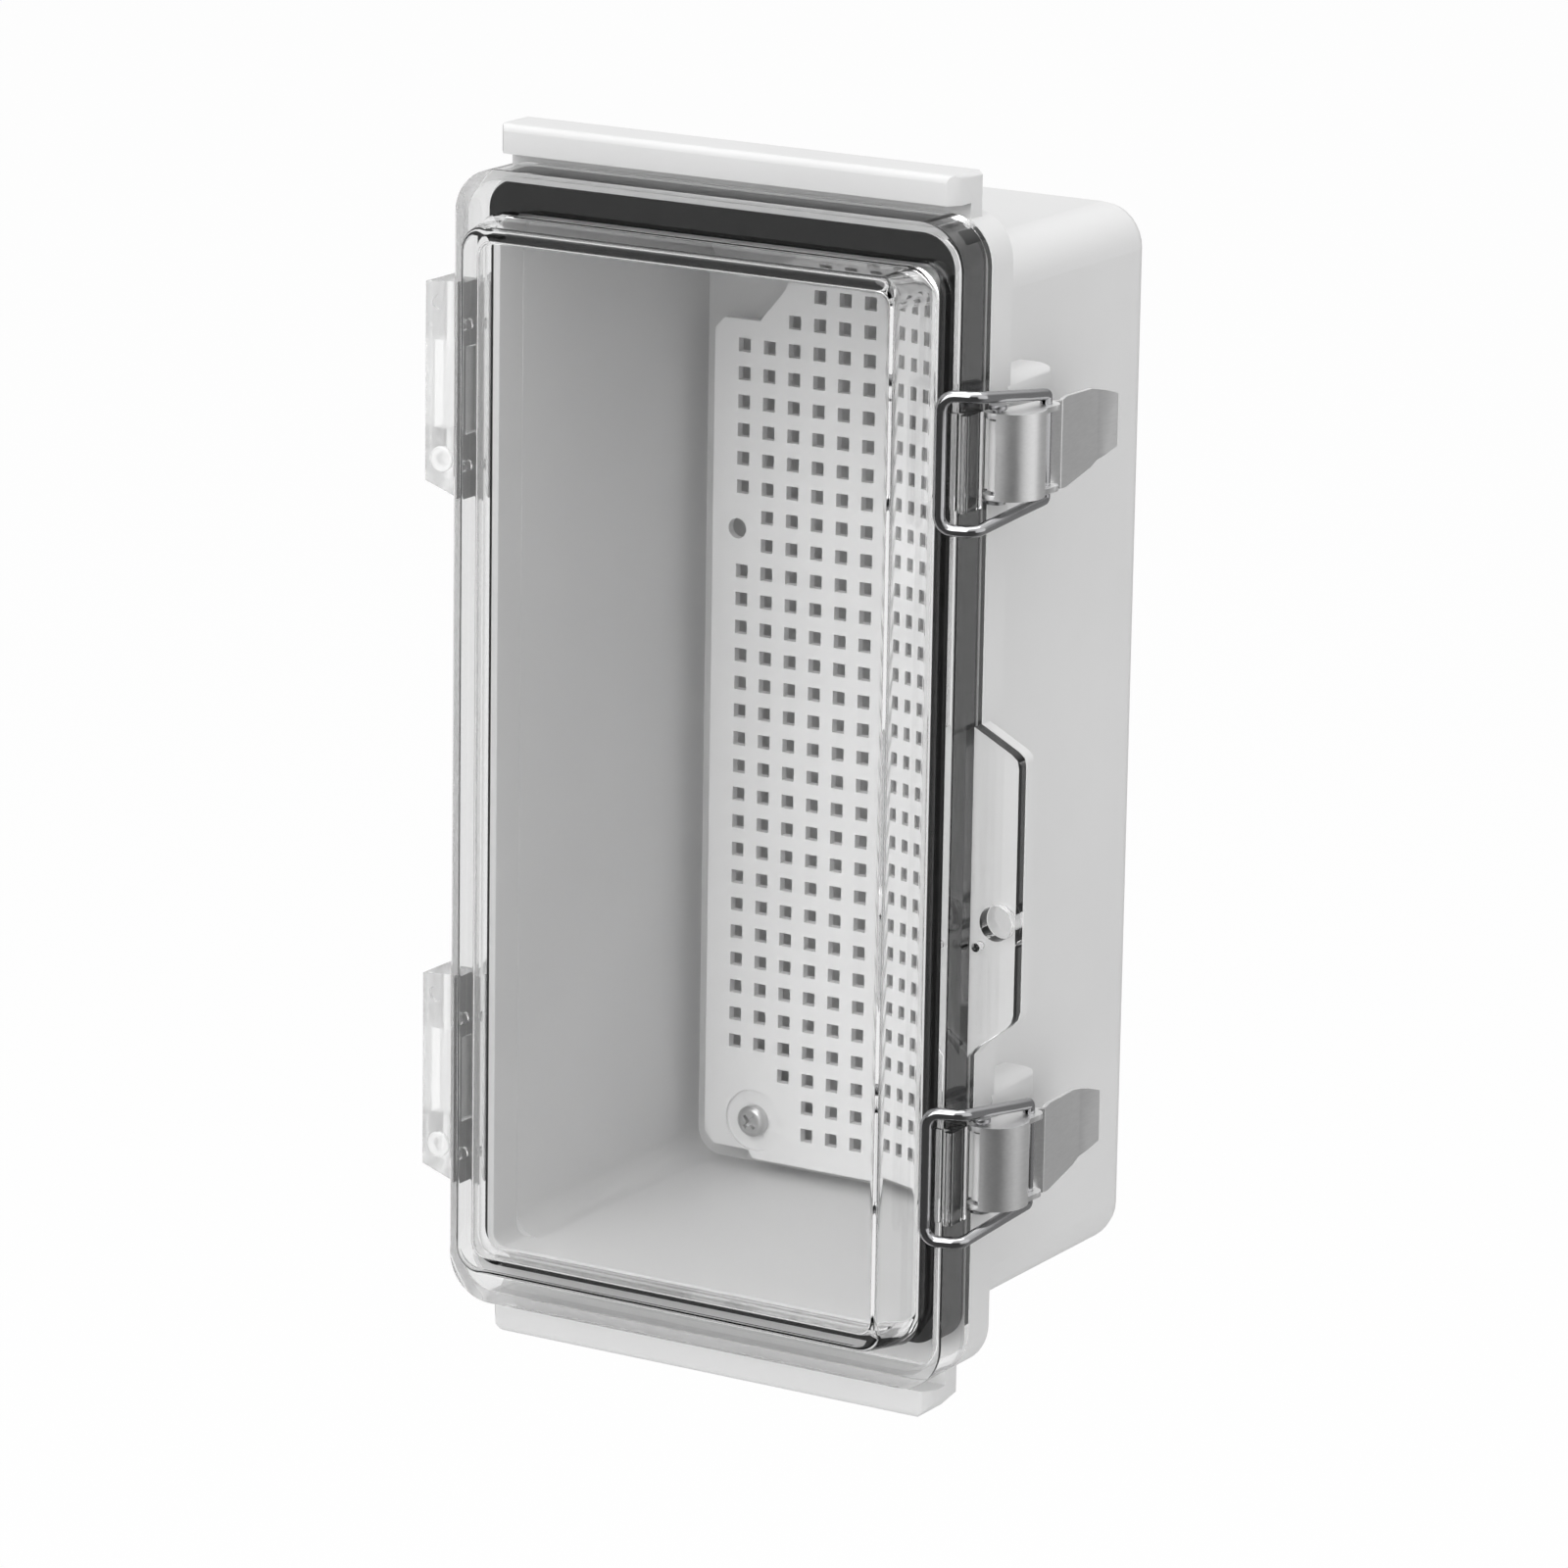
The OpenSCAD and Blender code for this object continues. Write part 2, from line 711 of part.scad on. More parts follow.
tub();
gasket();
mounting_plate();
plate_inserts();
plate_screws();
lid();
hinge_leaf_upper();
hinge_leaf_lower();
hinge_pin_upper();
hinge_pin_lower();
hinge_cap_upper();
hinge_cap_lower();
latch_lever_upper();
latch_lever_lower();
latch_bail_upper();
latch_bail_lower();
latch_pin_upper();
latch_pin_lower();
latch_clip_upper();
latch_clip_lower();
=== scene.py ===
"""Dress and light a wall-mounted enclosure with a clear hinged lid.

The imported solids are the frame. Each sub-assembly class rounds the edges of its
own solids, adds the detail that they lack, and gives every piece its finish.
"""

import json
import logging
import math
from dataclasses import dataclass, field
from enum import Enum
from typing import Dict, List, Optional, Sequence, Tuple

import bmesh
import bpy
from mathutils import Matrix, Vector

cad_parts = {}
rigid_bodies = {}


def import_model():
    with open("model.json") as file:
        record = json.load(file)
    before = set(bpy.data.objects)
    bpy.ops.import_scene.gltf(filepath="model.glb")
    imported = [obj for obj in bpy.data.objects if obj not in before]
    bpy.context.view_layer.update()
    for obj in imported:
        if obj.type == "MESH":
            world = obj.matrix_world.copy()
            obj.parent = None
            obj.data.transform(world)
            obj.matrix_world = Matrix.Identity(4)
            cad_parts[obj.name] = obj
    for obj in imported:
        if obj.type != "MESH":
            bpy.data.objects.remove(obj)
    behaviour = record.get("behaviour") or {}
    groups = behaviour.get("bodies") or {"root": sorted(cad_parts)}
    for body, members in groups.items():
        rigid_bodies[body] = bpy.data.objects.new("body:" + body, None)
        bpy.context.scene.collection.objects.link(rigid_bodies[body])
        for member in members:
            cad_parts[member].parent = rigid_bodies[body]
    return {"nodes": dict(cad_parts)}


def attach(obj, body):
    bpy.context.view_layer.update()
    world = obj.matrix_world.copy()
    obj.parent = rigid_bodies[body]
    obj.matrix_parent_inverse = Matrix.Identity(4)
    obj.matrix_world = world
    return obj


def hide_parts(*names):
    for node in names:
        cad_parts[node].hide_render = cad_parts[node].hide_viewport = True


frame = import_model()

LOG = logging.getLogger("enclosure")
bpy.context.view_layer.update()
MM = 0.001
MERGE_DISTANCE = 0.000004
FLAT_ANGLE = 0.6
LONG_GRAIN = 2600.0
Colour = Tuple[float, float, float]
Point = Tuple[float, float, float]


class Side(Enum):
    """The two heights at which hinges and latches stand."""

    UPPER = "upper"
    LOWER = "lower"


# ---------------------------------------------------------------- node tools


class Sheet:
    """A node tree with short helpers for adding and joining nodes."""

    def __init__(self, tree: bpy.types.NodeTree) -> None:
        """Wrap a tree.

        Args:
            tree: The node tree that the helpers work on.
        """
        self.tree = tree

    def add(self, kind: str, **values: object) -> bpy.types.Node:
        """Add a node.

        Args:
            kind: The node's type name.
            **values: Attributes to set on it.

        Returns:
            The new node.
        """
        node = self.tree.nodes.new(kind)
        for name, value in values.items():
            setattr(node, name, value)
        return node

    def join(self, start: bpy.types.NodeSocket, end: bpy.types.NodeSocket) -> None:
        """Link an output to an input."""
        self.tree.links.new(start, end)

    def mix(self, kind: str, factor: object, one: object, two: object) -> bpy.types.NodeSocket:
        """Mix two colours or two numbers.

        Args:
            kind: RGBA or FLOAT.
            factor: A socket or a number.
            one: A socket or a value at factor 0.
            two: A socket or a value at factor 1.

        Returns:
            The mixed output.
        """
        node = self.add("ShaderNodeMix", data_type=kind)
        low, high, out = (6, 7, 2) if kind == "RGBA" else (2, 3, 0)
        for slot, value in ((0, factor), (low, one), (high, two)):
            if isinstance(value, bpy.types.NodeSocket):
                self.join(value, node.inputs[slot])
            else:
                node.inputs[slot].default_value = value
        return node.outputs[out]

    def sum(self, kind: str, one: object, two: object = 0.0) -> bpy.types.NodeSocket:
        """Do one step of arithmetic.

        Args:
            kind: The Math node's operation.
            one: A socket or a number.
            two: A socket or a number.

        Returns:
            The result.
        """
        node = self.add("ShaderNodeMath", operation=kind)
        for slot, value in ((0, one), (1, two)):
            if isinstance(value, bpy.types.NodeSocket):
                self.join(value, node.inputs[slot])
            else:
                node.inputs[slot].default_value = value
        return node.outputs[0]

    def surface(self, share: bpy.types.NodeSocket, one: bpy.types.Node,
                two: bpy.types.Node) -> None:
        """Mix two shaders and make the result the material's surface.

        Args:
            share: How much of the second shader shows.
            one: The shader at share 0.
            two: The shader at share 1.
        """
        choice = self.add("ShaderNodeMixShader")
        self.join(share, choice.inputs[0])
        self.join(one.outputs[0], choice.inputs[1])
        self.join(two.outputs[0], choice.inputs[2])
        self.join(choice.outputs[0], self.tree.nodes["Material Output"].inputs["Surface"])


def new_group(
    name: str,
    inputs: Sequence[Tuple[str, str, object]],
    outputs: Sequence[Tuple[str, str]],
) -> Tuple[bpy.types.NodeTree, Sheet, bpy.types.Node, bpy.types.Node]:
    """Start a shader node group with named sockets.

    Args:
        name: The group's name.
        inputs: Name, socket kind and default of each input.
        outputs: Name and socket kind of each output.

    Returns:
        The group's tree, its helper sheet, its input node and its output node.
    """
    tree = bpy.data.node_groups.new(name, "ShaderNodeTree")
    for label, kind, value in inputs:
        socket = tree.interface.new_socket(label, in_out="INPUT", socket_type=kind)
        if value is not None:
            socket.default_value = value
    for label, kind in outputs:
        tree.interface.new_socket(label, in_out="OUTPUT", socket_type=kind)
    sheet = Sheet(tree)
    return tree, sheet, sheet.add("NodeGroupInput"), sheet.add("NodeGroupOutput")


def build_moulding_group() -> bpy.types.NodeTree:
    """Build the grain and slight mottling of moulded plastic.

    Returns:
        The group, with Shade, Roughness and Height outputs.
    """
    tree, sheet, start, end = new_group(
        "moulded_grain",
        (("Grain", "NodeSocketFloat", LONG_GRAIN), ("Mottle", "NodeSocketFloat", 28.0)),
        (("Shade", "NodeSocketFloat"), ("Roughness", "NodeSocketFloat"),
         ("Height", "NodeSocketFloat")),
    )
    place = sheet.add("ShaderNodeTexCoord")
    fine = sheet.add("ShaderNodeTexNoise")
    fine.inputs["Detail"].default_value = 2.0
    broad = sheet.add("ShaderNodeTexNoise")
    broad.inputs["Detail"].default_value = 3.0
    for noise, label in ((fine, "Grain"), (broad, "Mottle")):
        sheet.join(place.outputs["Object"], noise.inputs["Vector"])
        sheet.join(start.outputs[label], noise.inputs["Scale"])
    shade = sheet.add("ShaderNodeMapRange")
    shade.inputs["From Min"].default_value = 0.3
    shade.inputs["From Max"].default_value = 0.7
    sheet.join(broad.outputs["Fac"], shade.inputs["Value"])
    sheet.join(shade.outputs["Result"], end.inputs["Shade"])
    rough = sheet.mix("FLOAT", broad.outputs["Fac"], fine.outputs["Fac"], 0.5)
    sheet.join(rough, end.inputs["Roughness"])
    sheet.join(fine.outputs["Fac"], end.inputs["Height"])
    return tree


def build_brushing_group() -> bpy.types.NodeTree:
    """Build the long fine scratches of brushed sheet.

    Returns:
        The group, with Scratch and Smear outputs.
    """
    tree, sheet, start, end = new_group(
        "brushed_grain",
        (("Along", "NodeSocketVector", (1.0, 1.0, 0.04)),
         ("Scale", "NodeSocketFloat", LONG_GRAIN)),
        (("Scratch", "NodeSocketFloat"), ("Smear", "NodeSocketFloat")),
    )
    place = sheet.add("ShaderNodeTexCoord")
    stretch = sheet.add("ShaderNodeVectorMath", operation="MULTIPLY")
    sheet.join(place.outputs["Object"], stretch.inputs[0])
    sheet.join(start.outputs["Along"], stretch.inputs[1])
    lines = sheet.add("ShaderNodeTexNoise")
    lines.inputs["Detail"].default_value = 4.0
    sheet.join(stretch.outputs["Vector"], lines.inputs["Vector"])
    sheet.join(start.outputs["Scale"], lines.inputs["Scale"])
    blot = sheet.add("ShaderNodeTexNoise")
    blot.inputs["Scale"].default_value = 60.0
    sheet.join(place.outputs["Object"], blot.inputs["Vector"])
    sheet.join(lines.outputs["Fac"], end.inputs["Scratch"])
    sheet.join(blot.outputs["Fac"], end.inputs["Smear"])
    return tree


def build_backdrop_group() -> bpy.types.NodeTree:
    """Build the backdrop's brightness for mirrored rays and for rays through the lid.

    Returns:
        The group, with Mirrored and Passing outputs.
    """
    tree, sheet, start, end = new_group(
        "backdrop_level",
        (("Way", "NodeSocketVector", (0.0, 0.0, 0.0)), ("Reach", "NodeSocketFloat", 0.4),
         ("Front", "NodeSocketFloat", 0.06), ("Behind", "NodeSocketFloat", 0.30),
         ("Entering", "NodeSocketFloat", 0.75)),
        (("Mirrored", "NodeSocketFloat"), ("Passing", "NodeSocketFloat")),
    )
    parts = sheet.add("ShaderNodeSeparateXYZ")
    sheet.join(start.outputs["Way"], parts.inputs["Vector"])
    ramp = sheet.add("ShaderNodeMapRange", interpolation_type="SMOOTHSTEP")
    sheet.join(parts.outputs["Y"], ramp.inputs["Value"])
    nearer = sheet.sum("MULTIPLY", start.outputs["Reach"], -1.0)
    sheet.join(nearer, ramp.inputs["From Min"])
    sheet.join(start.outputs["Reach"], ramp.inputs["From Max"])
    side = sheet.mix("FLOAT", ramp.outputs["Result"], start.outputs["Front"],
                     start.outputs["Behind"])
    above = sheet.add("ShaderNodeMapRange", interpolation_type="SMOOTHSTEP")
    dusk, noon = 0.15, 0.65
    above.inputs["From Min"].default_value = dusk
    above.inputs["From Max"].default_value = noon
    sheet.join(parts.outputs["Z"], above.inputs["Value"])
    sheet.join(sheet.sum("MAXIMUM", side, above.outputs["Result"]), end.inputs["Mirrored"])
    sheet.join(sheet.mix("FLOAT", ramp.outputs["Result"], start.outputs["Entering"], 1.0),
               end.inputs["Passing"])
    return tree


class Groups:
    """The shared effects, each built once."""

    moulding: bpy.types.NodeTree = build_moulding_group()
    brushing: bpy.types.NodeTree = build_brushing_group()
    backdrop: bpy.types.NodeTree = build_backdrop_group()


# ----------------------------------------------------------------- finishes


@dataclass(frozen=True)
class Finish:
    """What every finish shares: a name, a colour and a roughness."""

    name: str
    colour: Colour
    roughness: float

    def start(self) -> Tuple[bpy.types.Material, Sheet, bpy.types.Node]:
        """Start a node material.

        Returns:
            The material, its sheet and its Principled shader.
        """
        material = bpy.data.materials.new(self.name)
        material.use_nodes = True
        sheet = Sheet(material.node_tree)
        shader = material.node_tree.nodes["Principled BSDF"]
        shader.inputs["Base Color"].default_value = (*self.colour, 1.0)
        shader.inputs["Roughness"].default_value = self.roughness
        return material, sheet, shader

    def group(self, sheet: Sheet, tree: bpy.types.NodeTree) -> bpy.types.Node:
        """Place a shared effect in a material."""
        node = sheet.add("ShaderNodeGroup")
        node.node_tree = tree
        return node

    def tint(self, amount: float) -> Tuple[float, float, float, float]:
        """Give the colour at another brightness."""
        return tuple(min(1.0, c * amount) for c in self.colour) + (1.0,)

    def bump(self, sheet: Sheet, height: bpy.types.NodeSocket, shader: bpy.types.Node,
             depth: float, strength: float) -> None:
        """Roughen the shader's normal.

        Args:
            sheet: The material's sheet.
            height: The height field.
            shader: The shader whose normal it drives.
            depth: The height's reach in metres.
            strength: How much of it shows.
        """
        node = sheet.add("ShaderNodeBump")
        node.inputs["Distance"].default_value = depth
        node.inputs["Strength"].default_value = strength
        sheet.join(height, node.inputs["Height"])
        sheet.join(node.outputs["Normal"], shader.inputs["Normal"])


@dataclass(frozen=True)
class MouldedPlastic(Finish):
    """Opaque moulded plastic with fine grain and faint mottling."""

    grain: float = LONG_GRAIN
    depth: float = 0.00003
    bump_share: float = 0.35
    mottle: Tuple[float, float] = (0.97, 1.01)
    spread: float = 0.07

    def build(self) -> bpy.types.Material:
        """Build the material."""
        material, sheet, shader = self.start()
        grain = self.group(sheet, Groups.moulding)
        grain.inputs["Grain"].default_value = self.grain
        dim, bright = (self.tint(amount) for amount in self.mottle)
        body = sheet.mix("RGBA", grain.outputs["Shade"], dim, bright)
        sheet.join(body, shader.inputs["Base Color"])
        rough = sheet.add("ShaderNodeMapRange")
        rough.inputs["To Min"].default_value = self.roughness - self.spread
        rough.inputs["To Max"].default_value = self.roughness + self.spread
        sheet.join(grain.outputs["Roughness"], rough.inputs["Value"])
        sheet.join(rough.outputs["Result"], shader.inputs["Roughness"])
        self.bump(sheet, grain.outputs["Height"], shader, self.depth, self.bump_share)
        return material


@dataclass(frozen=True)
class ClearPlastic(Finish):
    """Clear moulded plastic that lets lamp light through to what is behind it."""

    ior: float = 1.50
    ripple: float = 0.000012
    ripple_share: float = 0.25
    ripple_scale: float = 55.0
    spread: Tuple[float, float] = (0.5, 1.5)
    clearness: float = 1.0

    def build(self) -> bpy.types.Material:
        """Build the material."""
        material, sheet, shader = self.start()
        shader.inputs["Transmission Weight"].default_value = self.clearness
        shader.inputs["IOR"].default_value = self.ior
        place = sheet.add("ShaderNodeTexCoord")
        wave = sheet.add("ShaderNodeTexNoise")
        wave.inputs["Scale"].default_value = self.ripple_scale
        wave.inputs["Detail"].default_value = 1.0
        sheet.join(place.outputs["Object"], wave.inputs["Vector"])
        rough = sheet.add("ShaderNodeMapRange")
        rough.inputs["To Min"].default_value = self.roughness * self.spread[0]
        rough.inputs["To Max"].default_value = self.roughness * self.spread[1]
        sheet.join(wave.outputs["Fac"], rough.inputs["Value"])
        sheet.join(rough.outputs["Result"], shader.inputs["Roughness"])
        self.bump(sheet, wave.outputs["Fac"], shader, self.ripple, self.ripple_share)
        path = sheet.add("ShaderNodeLightPath")
        passing = sheet.add("ShaderNodeBsdfTransparent")
        passing.inputs["Color"].default_value = (*self.colour, 1.0)
        sheet.surface(path.outputs["Is Shadow Ray"], shader, passing)
        return material


@dataclass(frozen=True)
class BrushedMetal(Finish):
    """Bare metal with fine grain along one way."""

    along: Point = (1.0, 0.05, 1.0)
    scratch: float = LONG_GRAIN
    depth: float = 0.000004
    bump_share: float = 0.15
    streak: Tuple[float, float] = (0.92, 1.06)
    smear_share: float = 0.4
    polished: float = 0.05
    scuffed: float = 0.06

    def build(self) -> bpy.types.Material:
        """Build the material."""
        material, sheet, shader = self.start()
        shader.inputs["Metallic"].default_value = 1.0
        grain = self.group(sheet, Groups.brushing)
        grain.inputs["Along"].default_value = self.along
        grain.inputs["Scale"].default_value = self.scratch
        dim, bright = (self.tint(amount) for amount in self.streak)
        body = sheet.mix("RGBA", grain.outputs["Scratch"], dim, bright)
        sheet.join(body, shader.inputs["Base Color"])
        blend = sheet.mix("FLOAT", self.smear_share, grain.outputs["Scratch"],
                          grain.outputs["Smear"])
        rough = sheet.add("ShaderNodeMapRange")
        rough.inputs["From Min"].default_value = 0.25
        rough.inputs["From Max"].default_value = 0.75
        rough.inputs["To Min"].default_value = self.roughness - self.polished
        rough.inputs["To Max"].default_value = self.roughness + self.scuffed
        sheet.join(blend, rough.inputs["Value"])
        sheet.join(rough.outputs["Result"], shader.inputs["Roughness"])
        self.bump(sheet, grain.outputs["Scratch"], shader, self.depth, self.bump_share)
        return material


@dataclass(frozen=True)
class FoamRubber(Finish):
    """Black gasket foam with fine pores."""

    pore_scale: float = 3200.0
    pore_depth: float = 0.000015
    bump_share: float = 0.35
    shine: float = 0.08
    mottle: Tuple[float, float] = (0.6, 1.5)

    def build(self) -> bpy.types.Material:
        """Build the material."""
        material, sheet, shader = self.start()
        place = sheet.add("ShaderNodeTexCoord")
        pores = sheet.add("ShaderNodeTexVoronoi")
        pores.inputs["Scale"].default_value = self.pore_scale
        sheet.join(place.outputs["Object"], pores.inputs["Vector"])
        dim, bright = (self.tint(amount) for amount in self.mottle)
        shade = sheet.mix("RGBA", pores.outputs["Distance"], dim, bright)
        sheet.join(shade, shader.inputs["Base Color"])
        shader.inputs["Specular IOR Level"].default_value = self.shine
        self.bump(sheet, pores.outputs["Distance"], shader, self.pore_depth,
                  self.bump_share)
        return material


@dataclass
class Finishes:
    """All finishes of the enclosure, by record slot."""

    made: Dict[str, bpy.types.Material] = field(default_factory=dict)

    def build(self) -> None:
        """Build every finish once."""
        for slot, finish in (
            ("grey_plastic", MouldedPlastic("body_plastic", (0.72, 0.72, 0.72), 0.42)),
            ("clear_plastic", ClearPlastic("clear_moulding", (0.95, 0.95, 0.95), 0.02)),
            ("milky_plastic", ClearPlastic("milky_moulding", (0.98, 0.98, 0.98), 0.06,
                                           clearness=0.62)),
            ("black_rubber", FoamRubber("gasket_foam", (0.007, 0.007, 0.007), 0.9)),
            ("panel_metal", MouldedPlastic("panel_coating", (0.88, 0.88, 0.88), 0.45,
                                           grain=3400.0, depth=0.00002)),
            ("brass", BrushedMetal("turned_brass", (0.78, 0.60, 0.30), 0.28)),
            ("screw_steel", BrushedMetal("plated_screw", (0.62, 0.62, 0.62), 0.30)),
            ("stainless", BrushedMetal("stainless_sheet", (0.93, 0.93, 0.93), 0.38)),
            ("wire_steel", BrushedMetal("drawn_wire", (0.45, 0.45, 0.46), 0.14)),
            ("pin_steel", BrushedMetal("pin_steel", (0.42, 0.42, 0.43), 0.3)),
        ):
            self.made[slot] = finish.build()

    def __getitem__(self, slot: str) -> bpy.types.Material:
        """Give the finish of a slot."""
        return self.made[slot]


# ------------------------------------------------------------ mesh handling


def clear_choice() -> None:
    """Deselect everything."""
    for thing in bpy.context.view_layer.objects:
        thing.select_set(False)


def pick(thing: bpy.types.Object) -> None:
    """Make one object the only selected and the active one."""
    clear_choice()
    thing.select_set(True)
    bpy.context.view_layer.objects.active = thing


def add_object(name: str, data: bpy.types.ID) -> bpy.types.Object:
    """Put a mesh, curve, lamp or camera in the scene under a name."""
    thing = bpy.data.objects.new(name, data)
    bpy.context.scene.collection.objects.link(thing)
    return thing


def copy_solid(node: str, name: str) -> bpy.types.Object:
    """Copy a solid's mesh as a new piece, with its corners merged.

    Args:
        node: The solid's node name.
        name: The new piece's name.

    Returns:
        The new piece.
    """
    source = frame["nodes"][node]
    mesh = source.data.copy()
    mesh.name = name
    piece = add_object(name, mesh)
    piece.matrix_world = Matrix.Identity(4)
    pick(piece)
    bpy.ops.object.mode_set(mode="EDIT")
    bpy.ops.mesh.select_all(action="SELECT")
    bpy.ops.mesh.remove_doubles(threshold=MERGE_DISTANCE)
    bpy.ops.mesh.dissolve_limited(angle_limit=math.radians(FLAT_ANGLE))
    bpy.ops.object.mode_set(mode="OBJECT")
    return piece


def solid_box(node: str) -> Tuple[Vector, Vector]:
    """Find the lowest and highest corners of a solid."""
    source = frame["nodes"][node]
    corners = [source.matrix_world @ Vector(corner) for corner in source.bound_box]
    low = Vector(min(corner[axis] for corner in corners) for axis in range(3))
    high = Vector(max(corner[axis] for corner in corners) for axis in range(3))
    return low, high


def round_edges(piece: bpy.types.Object, width: float, steps: int, angle: float,
                plain: Optional[float] = None) -> None:
    """Round a piece's sharp edges and shade its curved faces smooth.

    Args:
        piece: The piece.
        width: The rounding's width in metres.
        steps: The number of strips in it.
        angle: The least angle, in degrees, at which an edge is rounded.
        plain: The area in square metres above which a face stays quite flat.
    """
    pick(piece)
    bevel = piece.modifiers.new("edge", "BEVEL")
    bevel.width = width
    bevel.segments = steps
    bevel.limit_method = "ANGLE"
    bevel.angle_limit = math.radians(angle)
    bevel.use_clamp_overlap = True
    bevel.miter_outer = "MITER_ARC"
    bpy.ops.object.modifier_apply(modifier=bevel.name)
    smooth(piece, plain=plain)


def smooth(piece: bpy.types.Object, angle: float = 35.0,
           plain: Optional[float] = None) -> None:
    """Shade curved faces smooth and keep the broad flat ones flat.

    Args:
        piece: The piece.
        angle: The angle, in degrees, from which an edge stays sharp.
        plain: The area in square metres above which a face stays quite flat.
    """
    pick(piece)
    bpy.ops.object.shade_smooth_by_angle(angle=math.radians(angle))
    if plain is not None:
        for face in piece.data.polygons:
            if face.area > plain:
                face.use_smooth = False
    even = piece.modifiers.new("even", "WEIGHTED_NORMAL")
    even.mode = "FACE_AREA"
    even.weight = 90
    even.keep_sharp = True
    bpy.ops.object.modifier_apply(modifier=even.name)


def rounded_loop(corners: Sequence[Tuple[Vector, float]], steps: int = 8) -> List[Vector]:
    """Round every corner of a closed line.

    Args:
        corners: Each corner with the radius of its arc.
        steps: The number of strokes in each arc.

    Returns:
        The points of the rounded line.
    """
    points = []
    for index, (corner, radius) in enumerate(corners):
        before = (corners[index - 1][0] - corner).normalized()
        after = (corners[(index + 1) % len(corners)][0] - corner).normalized()
        half = before.angle(after) / 2.0
        centre = corner + (before + after).normalized() * (radius / math.sin(half))
        first = corner + before * (radius / math.tan(half)) - centre
        last = corner + after * (radius / math.tan(half)) - centre
        turn = math.pi - 2.0 * half
        for step in range(steps + 1):
            share = step / steps
            points.append(centre + (first * math.sin((1.0 - share) * turn)
                                    + last * math.sin(share * turn)) / math.sin(turn))
    return points


@dataclass(frozen=True)
class Outline:
    """A rounded rectangle seen from the front."""

    left: float
    right: float
    bottom: float
    top: float
    corner: float

    def points(self) -> List[Vector]:
        """Give the outline's points, with the corners as arcs."""
        corners = ((self.left, self.bottom), (self.right, self.bottom),
                   (self.right, self.top), (self.left, self.top))
        return rounded_loop([(Vector((x, z, 0.0)), self.corner) for x, z in corners], 10)


def trace(line: bpy.types.Curve, points: Sequence[Vector]) -> None:
    """Add a closed run of points to a curve."""
    spline = line.splines.new("POLY")
    spline.points.add(len(points) - 1)
    for knot, point in zip(spline.points, points):
        knot.co = (*point, 1.0)
    spline.use_cyclic_u = True


def to_mesh(piece: bpy.types.Object) -> bpy.types.Object:
    """Turn a curve object into a mesh object."""
    pick(piece)
    bpy.ops.object.convert(target="MESH")
    return bpy.context.active_object


def ring(name: str, outer: Outline, inner: Outline, front: float, back: float,
         edge: float) -> bpy.types.Object:
    """Make a flat ring that lies in the plane of the lid.

    Args:
        name: The piece's name.
        outer: The outer outline.
        inner: The inner outline.
        front: The y of its front face.
        back: The y of its back face.
        edge: The rounding of its edges.

    Returns:
        The ring as a mesh.
    """
    line = bpy.data.curves.new(name, "CURVE")
    line.dimensions = "2D"
    line.fill_mode = "BOTH"
    line.extrude = (back - front) / 2.0 - edge
    line.bevel_depth = edge
    line.bevel_resolution = 2
    line.offset = -edge
    for outline in (outer, inner):
        trace(line, outline.points())
    piece = add_object(name, line)
    piece.location = (0.0, (front + back) / 2.0, 0.0)
    piece.rotation_euler = (math.pi / 2.0, 0.0, 0.0)
    piece = to_mesh(piece)
    bpy.ops.object.transform_apply(location=True, rotation=True, scale=True)
    smooth(piece)
    return piece


def wire(name: str, points: Sequence[Vector], radius: float) -> bpy.types.Object:
    """Make a closed round wire.

    Args:
        name: The piece's name.
        points: The closed centre line.
        radius: The wire's radius.

    Returns:
        The wire as a mesh.
    """
    line = bpy.data.curves.new(name, "CURVE")
    line.dimensions = "3D"
    line.bevel_depth = radius
    line.bevel_resolution = 6
    trace(line, points)
    piece = to_mesh(add_object(name, line))
    bpy.ops.object.shade_smooth()
    return piece


def dress(thing: bpy.types.Object, material: bpy.types.Material) -> None:
    """Give an object one material in all its slots."""
    thing.data.materials.clear()
    thing.data.materials.append(material)


def settle(piece: bpy.types.Object, body: str, slot: str, *nodes: str) -> None:
    """Tie a finished piece to its body and hide the solids it stands for.

    Args:
        piece: The finished piece.
        body: The body it moves with.
        slot: The record slot of its finish; not used.
        *nodes: The solids that it replaces.
    """
    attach(piece, body)
    if nodes:
        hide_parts(*nodes)
    LOG.info("%s: %d faces", piece.name, len(piece.data.polygons))


@dataclass
class SubAssembly:
    """A group of solids that are dressed together."""

    finishes: Finishes

    def carry(self, node: str, slot: str) -> None:
        """Keep a solid as it is, with a finish.

        Args:
            node: The solid's node name.
            slot: The record slot of its finish.
        """
        thing = frame["nodes"][node]
        dress(thing, self.finishes[slot])
        LOG.info("%s: kept as made", node)

    def soften(self, node: str, body: str, slot: str, width: float,
               steps: int = 2, angle: float = 40.0) -> bpy.types.Object:
        """Replace a solid by a copy with rounded edges.

        Args:
            node: The solid's node name.
            body: The body it moves with.
            slot: The record slot of its finish.
            width: The rounding's width in metres.
            steps: The number of strips in it.
            angle: The least edge angle that is rounded, in degrees.

        Returns:
            The new piece.
        """
        piece = copy_solid(node, f"{node}_skin")
        round_edges(piece, width, steps, angle)
        dress(piece, self.finishes[slot])
        settle(piece, body, slot, node)
        return piece


